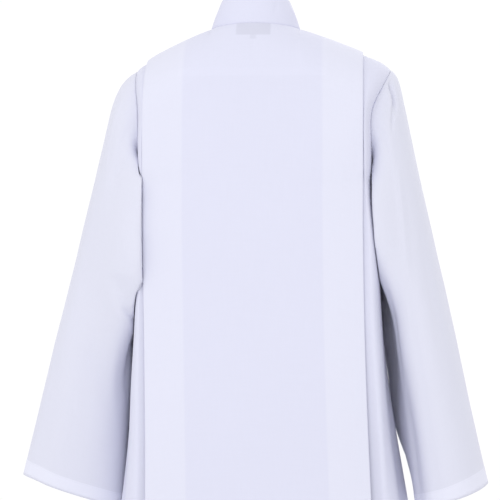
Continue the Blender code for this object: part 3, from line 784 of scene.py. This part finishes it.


# the sleeves are the same cloth as the body, set a shade lighter and less blue: painted tone for the
# light on the sleeves. Their turned hems are painted lighter still, as painted show-through
sleeve_cloth = woven_polyester("sleeve_woven_polyester", "#D6D7E5", "#DEDFED")
sleeves = {}
for side in SIDES:
    hem = 1 - HEM_DEPTH / sleeve_length(side)
    sleeve_rows = [(step / HEAD_STEPS, 0.0) for step in range(HEAD_STEPS + 1)]
    sleeve_rows += [(1, mix(0, hem - 0.002, step / ARM_STEPS)) for step in range(1, ARM_STEPS + 1)]
    sleeve_rows += hem_rows(1, hem)
    sleeve_hem_row = len(sleeve_rows) - HEM_ROWS
    sleeves[side] = cloth(
        "worn_sleeve_" + side, AROUND_STEPS, len(sleeve_rows) - 1,
        lambda column, row: sleeve_point(side, 360 * column / AROUND_STEPS, *sleeve_rows[row]),
        thick_row=sleeve_hem_row, closed=True,
        layers_at=lambda column, row: float(row >= sleeve_hem_row))
    sleeves[side].data.materials.append(sleeve_cloth)
    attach(sleeves[side], "root")
    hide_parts("sleeve_" + side)

# ---------------------------------------------------------------- Collar
# The stand collar is a strip of the same cloth folded double at its upper edge, interlined
# and sewn to the neckline. Its ends are seamed and turned, and lap at the front.
COLLAR_APART = 0.0009  # from the collar's middle to each of its two layers
COLLAR_ENDS_APART = 0.00036
COLLAR_TOP_HALF = 0.0565
COLLAR_TOP_BACK = 0.050
COLLAR_TOP_FRONT = 0.068
COLLAR_HEIGHT = 0.050
COLLAR_RISE = -0.0010  # its foot is turned over the neckline
COLLAR_LAP_LIFT = 0.0021
COLLAR_CORNER = 0.012
COLLAR_BOW = 0.0015  # outwards, halfway up
COLLAR_RIDGE = (0.0008, 0.0022, 0.0016)  # rise, height and spread of its seam allowance
COLLAR_LAP = 15.0  # degrees that either end runs on past the middle of the front
COLLAR_ROUND_OFF = 14  # degrees from an end over which its upper corner is rounded
COLLAR_RADIUS = 0.065  # turns degrees round the collar into metres
COLLAR_STEPS, COLLAR_ROWS, COLLAR_TURN_STEPS = 170, 16, 6
COLLAR_CREASES = (
    # round it from the middle of the back and up it, then at the other end, half width, rise
    (-30, 12, -46, 44, 4, -1.2),
    (20, 6, 60, 20, 4, 0.7),
    (-90, 10, -75, 46, 6, 1),
    (85, 8, 100, 46, 6, -0.8),
)


def collar_point(angle, up):
    """A point of the collar; the angle is 0 at the middle of the back."""
    sine, cosine = sine_cosine(angle)
    behind = cosine > 0
    low = Vector((NECK_HALF * sine, (NECK_BACK if behind else NECK_FRONT) * cosine,
                  (NECK_BACK_RISE if behind else -NECK_FRONT_FALL) * cosine ** 2))
    high = Vector((COLLAR_TOP_HALF * sine, (COLLAR_TOP_BACK if behind else COLLAR_TOP_FRONT) * cosine,
                   low.z + COLLAR_HEIGHT))
    round_from = 180 + COLLAR_LAP - COLLAR_ROUND_OFF
    ends = min(max(abs(angle) - round_from, 0) / COLLAR_ROUND_OFF, 1.0)
    high = low.lerp(high, 1 - COLLAR_CORNER / COLLAR_HEIGHT * (1 - math.sqrt(1 - ends ** 2)))
    steep = 0.0 if behind else abs(math.sin(math.radians(2 * angle)))
    low = low + (high - low).normalized() * COLLAR_RISE * (1 + steep)
    outwards = Vector((sine, cosine, 0))
    out = COLLAR_LAP_LIFT * ease((abs(angle) - 90) / 70) * math.copysign(1, angle)
    out += COLLAR_BOW * math.sin(math.radians(180) * up)
    rise, middle, spread = COLLAR_RIDGE
    out += rise * math.exp(-((up * COLLAR_HEIGHT - middle) / spread) ** 2)
    out += crease_rise(COLLAR_CREASES, math.radians(angle) * COLLAR_RADIUS, up * COLLAR_HEIGHT)
    return low.lerp(high, up) + outwards * out


def collar_layer_point(column, row):
    """A point of the folded strip: up its outer layer, over the fold and down its inner one."""
    angle = mix(-collar_end, collar_end, column / COLLAR_STEPS)
    turned = (row - COLLAR_ROWS) / COLLAR_TURN_STEPS
    up = row / COLLAR_ROWS if turned < 0 else 1 - (turned - 1) * COLLAR_TURN_STEPS / COLLAR_ROWS
    up = min(up, 1.0)
    over = math.radians(180) * min(max(turned, 0.0), 1.0)
    apart = mix(COLLAR_ENDS_APART, COLLAR_APART, ease((collar_end - abs(angle)) / 6))
    apart *= ease(up / 0.10) * 0.6 + 0.4
    point = collar_point(angle, up)
    rising = (point - collar_point(angle, up - 0.05)).normalized()
    around = collar_point(angle + 0.5, up) - collar_point(angle - 0.5, up)
    outwards = rising.cross(around).normalized()
    if outwards.dot(Vector((*sine_cosine(angle), 0))) <= 0:
        outwards.negate()
    return point + outwards * apart * math.cos(over) + rising * apart * (math.sin(over) - 1)


collar_cloth = woven_polyester("collar_doubled_polyester", "#D5D6E8", "#D5D6E8")
collar_end = 180 + COLLAR_LAP
collar = cloth("worn_collar", COLLAR_STEPS, 2 * COLLAR_ROWS + COLLAR_TURN_STEPS,
               collar_layer_point, thick=CLOTH)
collar.data.materials.append(collar_cloth)
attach(collar, "root")
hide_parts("collar")

# ---------------------------------------------------------------- Labels
# Two blank labels of satin-woven polyester lie inside the back of the neck, just under the
# collar: a broad one, and a small tab over it that hangs a little lower. The collar's seam
# takes in their upper edges.
LABEL_CLOTH = 0.00045
LABEL_APART = 0.0004  # between the labels, and between the broad one and the back
LABEL_RIPPLES = ((0.012, 0.0002),)
LABEL_CURL = 0.0007  # at its lower corners
LABEL_ACROSS, LABEL_DOWN = 48, 24


def label_point(half, top, bottom, layers, column, row):
    """A point of a label inside the back; top and bottom are degrees over the shoulder ridge."""
    reach = half * (2 * column / LABEL_ACROSS - 1)
    station = NECK_STATION * math.degrees(math.asin(abs(reach) / NECK_HALF)) / 90
    turned = mix(top, bottom, row / LABEL_DOWN)
    point, _, off = form_frame(BACK, "left" if reach >= 0 else "right", station, (turned, 0.0))
    depth = CLOTH / 2 + LABEL_APART + LABEL_CLOTH / 2 + layers * (LABEL_CLOTH + LABEL_APART)
    depth = ripples(point, LABEL_RIPPLES, depth)
    # its upper edge is caught in the collar's seam, and its lower corners lift a little
    corner = (abs(reach) / half) ** 6 * (row / LABEL_DOWN) ** 4
    return point - off * (depth + LABEL_CURL * corner)


def grained(name, code, inputs, kind, sockets, shades, bump, roughs=None,
            laid="ShaderNodeTexCoord", by="Object", **settings):
    """A look of one colour that a fine grain shades and raises, and may make unevenly rough.

    A texture node of some kind gives the grain, at places that another node lays out.
    """
    look, shader = new_look(name, inputs)
    place = node(look, laid).outputs[by]
    grain = node(look, kind, {"Vector": place, **sockets}, **settings).outputs["Fac"]
    wire(look, shader, {"Base Color": scaled(look, colour(code)[:3], stretched(look, grain, *shades)),
                        "Normal": raised(look, grain, *bump)})
    if roughs:
        wire(look, shader, {"Roughness": stretched(look, grain, *roughs)})
    return look


def satin_label(name, code):
    """Satin-woven label polyester: close ribs run across it and give a silky gleam."""
    return grained(name, code, {"Roughness": 0.42, "Sheen Weight": 0.2, "Anisotropic": 0.4},
                   "ShaderNodeTexWave", {"Scale": 900.0, "Distortion": 0.6},
                   shades=(0.93, 1.03), bump=(0.25, 0.0002),
                   laid="ShaderNodeUVMap", by="UV", bands_direction="Y")


LABELS = {
    # half width, top, bottom, layers under it, and colour
    "neck_label": ((0.029, 12, 38, 0), "#C3C5D2"),
    "size_label": ((0.005, 16, 45, 1), "#CDCFDA"),
}
for label_name, (shape, code) in LABELS.items():
    label = cloth("worn_" + label_name, LABEL_ACROSS, LABEL_DOWN,
                  lambda column, row: label_point(*shape, column, row), thick=LABEL_CLOTH)
    label.data.materials.append(satin_label(label_name + "_satin", code))
    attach(label, "root")
    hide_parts(label_name)
    upper, lower = (label_point(*shape, LABEL_ACROSS // 2, row) for row in (0, LABEL_DOWN))

# ---------------------------------------------------------------- Sewing thread
# White spun polyester thread in lockstitch, 3.3 mm a stitch: round the hems of the skirt and
# the sleeves, down the turned edge of the left front, round the collar, and down the ends of
# the broad label. Each stitch is drawn through the cloth, so it shows on both faces.
STITCH_PITCH = 0.0033
STITCH_HALF = 0.0013
STITCH_HALF_WIDTH = 0.0003
STITCH_PROUD = 0.00022  # above the cloth on either face
HEM_STITCH_UP = 0.0280  # above the hem's edge
LAP_STITCH_IN = 0.0290  # from the edge of the front
LAP_EDGE_SHARE = 0.86  # of half the lap, where its free edge is stitched
COLLAR_STITCH_IN = 0.0040
COLLAR_END_IN = 4  # degrees from the collar's ends
COLLAR_END_STEPS = 12
BESIDE = 0.002  # a line just across a seam shows which way the cloth faces
LABEL_STITCH = {"pitch": 0.0022, "half": 0.0009}


def deselect():
    for chosen in list(bpy.context.selected_objects):
        chosen.select_set(False)


deselect()
bpy.ops.mesh.primitive_uv_sphere_add(segments=8, ring_count=4, radius=1)
stitch = bpy.context.object
stitch.name = "stitch"
bpy.ops.object.shade_smooth()


def stitch_place(middle, along, off, half, half_width, half_depth):
    """The place of a stitch that runs one way on the cloth; its last half size is through it."""
    turn = Matrix((along, off.cross(along), off)).transposed().to_4x4()
    return Matrix.Translation(middle) @ turn @ Matrix.Diagonal((half, half_width, half_depth, 1))


def thread_row(lines, wall, pitch=STITCH_PITCH, half=STITCH_HALF):
    """Places for stitches along lines of (point, point just across the seam) on the cloth."""
    places = []
    for line in lines:
        walked = 0.0
        for (point, beside), (after, _) in zip(line, line[1:]):
            run = after - point
            if run.length < 1e-6:
                continue
            while walked < run.length:
                along = run.normalized()
                off = along.cross(beside - point).normalized()
                places.append(stitch_place(point + along * walked, along, off, half,
                                           STITCH_HALF_WIDTH, wall / 2 + STITCH_PROUD))
                walked += pitch
            walked -= run.length
    return places


def sew(name, places, look):
    """One piece of thread with a copy of the stitch at each place."""
    sewn = bmesh.new()
    for place in places:
        before = len(sewn.verts)
        sewn.from_mesh(stitch.data)
        sewn.verts.ensure_lookup_table()
        bmesh.ops.transform(sewn, matrix=place, verts=sewn.verts[before:])
    thread = meshed(name, sewn)
    thread.data.materials.append(look)
    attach(thread, "root")


def spun_thread(name, code):
    """Spun polyester thread: two twisted plies, matt and a little fuzzy."""
    return grained(name, code, {"Roughness": 0.72, "Sheen Weight": 0.25},
                   "ShaderNodeTexWave", {"Scale": 900.0, "Distortion": 0.8},
                   shades=(0.88, 1.02), bump=(0.4, 0.0001), bands_direction="DIAGONAL")


sewing_thread = spun_thread("white_spun_polyester_thread", "#C9CBDD")


def hem_levels(length):
    """Shares down a length where the hem is stitched, and just below that."""
    return [1 - up / length for up in (HEM_STITCH_UP, HEM_STITCH_UP - BESIDE)]


hem_pair = [(90, level) for level in hem_levels(ARMHOLE_MIDDLE - HEM_HEIGHT)]
hem_lines = [[[body_point(BACK, *column, row) for row in hem_pair] for column in columns]]
hem_lines += [[[front_point(side, column, row) for row in hem_pair] for column in front_columns]
              for side in SIDES]
sew("hem_thread", thread_row(hem_lines, HEM_CLOTH), sewing_thread)

sleeve_lines = [[[sleeve_point(side, 360 * step / AROUND_STEPS, 1, level)
                  for level in hem_levels(sleeve_length(side))]
                 for step in range(AROUND_STEPS + 1)] for side in SIDES]
sew("sleeve_thread", thread_row(sleeve_lines, HEM_CLOTH), sewing_thread)

stitched = (LAP_STITCH_IN - LAP_HALF) / section("pleat_at", 0)
lap_lines = [[[front_point("left", (beside, 0, 0), row) for beside in (station, station + 0.01)]
              for row in rows[2:]] for station in (stitched, -lap * LAP_EDGE_SHARE)]
sew("front_thread", thread_row(lap_lines, CLOTH), sewing_thread)

sewn_end = collar_end - COLLAR_END_IN
angles = [mix(-sewn_end, sewn_end, step / COLLAR_STEPS) for step in range(COLLAR_STEPS + 1)]
lowest = COLLAR_STITCH_IN / COLLAR_HEIGHT
heights = [mix(COLLAR_STITCH_IN, COLLAR_HEIGHT - COLLAR_STITCH_IN, step / COLLAR_END_STEPS)
           / COLLAR_HEIGHT for step in range(COLLAR_END_STEPS + 1)]
collar_lines = [[(collar_point(angle, up), collar_point(angle, up + 0.02)) for angle in angles]
                for up in (lowest, 1 - lowest)]
collar_lines += [[(collar_point(angle, up), collar_point(angle + 1, up)) for up in heights]
                 for angle in (-sewn_end, sewn_end)]
sew("collar_thread", thread_row(collar_lines, 2 * COLLAR_APART + CLOTH), sewing_thread)

broad_label = LABELS["neck_label"][0]
label_lines = [[[label_point(*broad_label, beside, row) for beside in (column, column + 1)]
                for row in range(1, LABEL_DOWN)] for column in (1, LABEL_ACROSS - 2)]
sew("label_thread", thread_row(label_lines, LABEL_CLOTH, **LABEL_STITCH), sewing_thread)

# ---------------------------------------------------------------- Buttonholes
# Eight upright buttonholes are worked in the left front, one under each button. Close
# stitches bind both sides of the shut slit, which isn't drawn, with a bar across each end.
BUTTON_FIRST = -0.100
BUTTON_PITCH = 0.105
BUTTON_COUNT = 8
HOLE_HALF = 0.0100
HOLE_SIDE = 0.0011  # from the slit to the middle of each bound side
HOLE_PITCH = 0.0007
BOUND_HALF = 0.0009  # of a stitch across a bound side
BOUND_THICK = 0.42  # half of such a stitch's width, by parts of their pitch
BAR_HALF = (0.0022, 0.0004)  # of a bar's stitch, across and down
BAR_PROUD = 1.6  # times as high as other stitches

front_line = [front_point("left", (0.0, 0, 0), row) for row in rows]


def on_front(height):
    """The left front's middle at a height: the point, the way down it and the way off it."""
    upper, lower = next((above, below) for above, below in zip(front_line, front_line[1:])
                        if above.z >= height > below.z)
    point = upper.lerp(lower, (upper.z - height) / (upper.z - lower.z))
    down = (lower - upper).normalized()
    return point, down, down.cross(Vector((1, 0, 0))).normalized()


hole_places = []
for number in range(BUTTON_COUNT):
    point, down, off = on_front(BUTTON_FIRST - BUTTON_PITCH * number)
    across = down.cross(off).normalized()
    steps = round(2 * HOLE_HALF / HOLE_PITCH)
    for step in range(steps + 1):
        middle = point + down * mix(-HOLE_HALF, HOLE_HALF, step / steps)
        for hand in (-1, 1):
            hole_places.append(stitch_place(middle + across * hand * HOLE_SIDE, across, off,
                                            BOUND_HALF, HOLE_PITCH * BOUND_THICK,
                                            CLOTH / 2 + STITCH_PROUD))
    for end in (-1, 1):
        for bar in (-0.5, 0.5):
            place = point + down * (end * HOLE_HALF + bar * HOLE_PITCH)
            hole_places.append(stitch_place(place, across, off, *BAR_HALF,
                                            CLOTH / 2 + BAR_PROUD * STITCH_PROUD))
sew("buttonhole_thread", hole_places, sewing_thread)
bpy.data.objects.remove(stitch, do_unlink=True)

# ---------------------------------------------------------------- Buttons
# Eight four-hole buttons of polished white plastic close the left front over the right one.
# Each has a rounded rim round a dished middle, and two doubled strands of thread through its
# holes.
BUTTON_RADIUS = 0.0075
BUTTON_THICKNESS = 0.0026
BUTTON_RIM = 0.0017
BUTTON_DISH = 0.0007
BUTTON_BEVEL = 0.0006
BUTTON_GAP = 0.0004  # over the buttonhole's thread
BUTTON_HOLE_RADIUS = 0.0008
BUTTON_HOLE_OUT = 0.0014  # from the button's middle, across and down
STRAND_RADIUS = 0.00024
STRAND_APART = 0.00022  # from the middle of a pair
STRAND_OVER = 0.0003  # over the dish
STRAND_END = 0.00025  # beyond the middle of a hole
STRAND_DIP = 0.0011  # of its ends, down the holes
STRAND_FLAT = 0.72  # share of its length that lies level

deselect()
bpy.ops.mesh.primitive_cylinder_add(vertices=64, radius=BUTTON_RADIUS, depth=BUTTON_THICKNESS)
button = bpy.context.object
button.name = "button"
bpy.ops.object.mode_set(mode="EDIT")
bpy.ops.mesh.select_mode(type="FACE")
bpy.ops.mesh.select_all(action="DESELECT")
disc = bmesh.from_edit_mesh(button.data)
for face in disc.faces:
    face.select_set(face.normal.z > 0.9)
bmesh.update_edit_mesh(button.data)
bpy.ops.mesh.inset(thickness=BUTTON_RIM)
bpy.ops.mesh.inset(thickness=BUTTON_RIM * 0.55, depth=-BUTTON_DISH)
bpy.ops.object.mode_set(mode="OBJECT")
rim = button.modifiers.new("rim", "BEVEL")
rim.width = BUTTON_BEVEL
rim.segments = 4
rim.limit_method = "ANGLE"
rim.angle_limit = math.radians(20)
bpy.ops.object.modifier_apply(modifier=rim.name)
for across in (-BUTTON_HOLE_OUT, BUTTON_HOLE_OUT):
    for down in (-BUTTON_HOLE_OUT, BUTTON_HOLE_OUT):
        button.select_set(False)
        bpy.ops.mesh.primitive_cylinder_add(vertices=24, radius=BUTTON_HOLE_RADIUS,
                                            depth=2 * BUTTON_THICKNESS, location=(across, down, 0))
        drill = bpy.context.object
        bore = button.modifiers.new("bore", "BOOLEAN")
        bore.object = drill
        bpy.context.view_layer.objects.active = button
        bpy.ops.object.modifier_apply(modifier=bore.name)
        bpy.data.objects.remove(drill, do_unlink=True)
button.select_set(True)
bpy.ops.object.shade_smooth_by_angle(angle=math.radians(32))

# strands of thread run in the dish from hole to hole, and down into each
button.select_set(False)
strands = []
for across in (-BUTTON_HOLE_OUT, BUTTON_HOLE_OUT):
    for nudge in (-STRAND_APART, STRAND_APART):
        bpy.ops.mesh.primitive_cylinder_add(
            vertices=10, radius=STRAND_RADIUS, depth=2 * (BUTTON_HOLE_OUT + STRAND_END),
            rotation=(math.radians(90), 0, 0),
            location=(across + nudge, 0, BUTTON_THICKNESS / 2 - BUTTON_DISH + STRAND_OVER))
        strand = bpy.context.object
        bpy.ops.object.mode_set(mode="EDIT")
        bpy.ops.mesh.select_all(action="SELECT")
        bpy.ops.mesh.subdivide(number_cuts=6)
        bent = bmesh.from_edit_mesh(strand.data)
        for vertex in bent.verts:
            # the cylinder's own Z runs along the strand, and its own Y points into the dish
            share = abs(vertex.co.z) / (BUTTON_HOLE_OUT + STRAND_END)
            vertex.co.y -= STRAND_DIP * max(share - STRAND_FLAT, 0.0) / (1 - STRAND_FLAT)
        bmesh.update_edit_mesh(strand.data)
        bpy.ops.object.mode_set(mode="OBJECT")
        bpy.ops.object.shade_smooth()
        strand.select_set(False)
        strands.append(strand)
for strand in strands:
    strand.select_set(True)
bpy.context.view_layer.objects.active = strands[0]
bpy.ops.object.join()
strand_set = bpy.context.object


def copied(part, name, place, look):
    """A copy of a part, with its place worked into its mesh."""
    copy = part.copy()
    copy.data = part.data.copy()
    bpy.context.scene.collection.objects.link(copy)
    copy.data.transform(place @ part.matrix_world)
    copy.matrix_world = Matrix.Identity(4)
    copy.data.materials.append(look)
    copy.name = name
    return copy


def moulded_plastic(name, code):
    """Polished white polyester plastic: glossy, with faint swirls and a slightly milky depth."""
    return grained(name, code, {"Subsurface Weight": 0.08, "Subsurface Radius": (0.001, 0.001, 0.0012),
                                "Coat Weight": 0.3, "Coat Roughness": 0.12},
                   "ShaderNodeTexNoise", {"Scale": 240.0, "Detail": 3.0, "Distortion": 1.2},
                   shades=(0.95, 1.04), bump=(0.05, 0.0001), roughs=(0.22, 0.34))


plastic = moulded_plastic("polished_white_plastic", "#E3E3EC")
for number in range(BUTTON_COUNT):
    point, down, off = on_front(BUTTON_FIRST - BUTTON_PITCH * number)
    lifted = CLOTH / 2 + STITCH_PROUD + BUTTON_GAP + BUTTON_THICKNESS / 2
    place = Matrix.Translation(point + off * lifted)
    place = place @ off.to_track_quat("Z", "Y").to_matrix().to_4x4()
    held = copied(button, f"four_hole_button_{number + 1}", place, plastic)
    threads = copied(strand_set, f"button_thread_{number + 1}", place, sewing_thread)
    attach(held, "root")
    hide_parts(f"button_{number + 1}")
    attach(threads, "root")
for part in (button, strand_set):
    bpy.data.objects.remove(part, do_unlink=True)

# ---------------------------------------------------------------- Floor, light and camera
# A plain pale floor lies just under the hem. The light is a white room with a large soft lamp
# behind the robe on its left and a weaker one before it, and the camera looks level at its back.
FLOOR_DROP = 0.012
FLOOR_RADIUS = 3.6

deselect()
bpy.ops.mesh.primitive_circle_add(vertices=96, radius=FLOOR_RADIUS, fill_type="NGON",
                                  location=(0, 0, HEM_HEIGHT - FLOOR_DROP))
floor = bpy.context.object
floor.name = "floor"
bpy.ops.object.transform_apply(location=True)
painted, _ = new_look("matt_painted_floor", {"Base Color": colour("#F2F2F4"), "Roughness": 0.9})
floor.data.materials.append(painted)

room = bpy.data.worlds.new("white_room")
room.use_nodes = True
wire(room, room.node_tree.nodes["Background"], {"Color": (1, 1, 1, 1), "Strength": 1.02})
bpy.context.scene.world = room
bpy.context.scene.view_settings.view_transform = "Standard"

LIT = Vector((0, 0, -0.5))  # what the lamps point at
LAMPS = (
    # x, y, z, width, watts
    (0.9, 3.4, 0.9, 1.8, 24),
    (-1.2, -2.6, 1.2, 2.0, 14),
)
for number, (x, y, z, width, watts) in enumerate(LAMPS):
    lamp = bpy.data.lights.new(f"soft_lamp_{number + 1}", "AREA")
    lamp.size = width
    lamp.energy = watts
    hung = placed(lamp.name, lamp)
    hung.location = (x, y, z)
    hung.rotation_euler = (LIT - hung.location).to_track_quat("-Z", "Y").to_euler()

AIM = Vector((0.010, 0.0, -0.378))
CAMERA_DISTANCE = 3.50
CAMERA_TURN = 3.2  # degrees that the wearer is turned from square to it
VISIBLE_WIDTH = 0.860  # across the picture, at the robe's middle
camera = placed("camera", bpy.data.cameras.new("camera"))
camera.rotation_euler = (math.radians(90), 0, math.radians(180 + CAMERA_TURN))
turned = Matrix.Rotation(math.radians(CAMERA_TURN), 3, "Z")
camera.location = AIM + turned @ Vector((0, CAMERA_DISTANCE, 0))
camera.data.sensor_width = 36
camera.data.lens = camera.data.sensor_width * CAMERA_DISTANCE / VISIBLE_WIDTH
bpy.context.scene.camera = camera
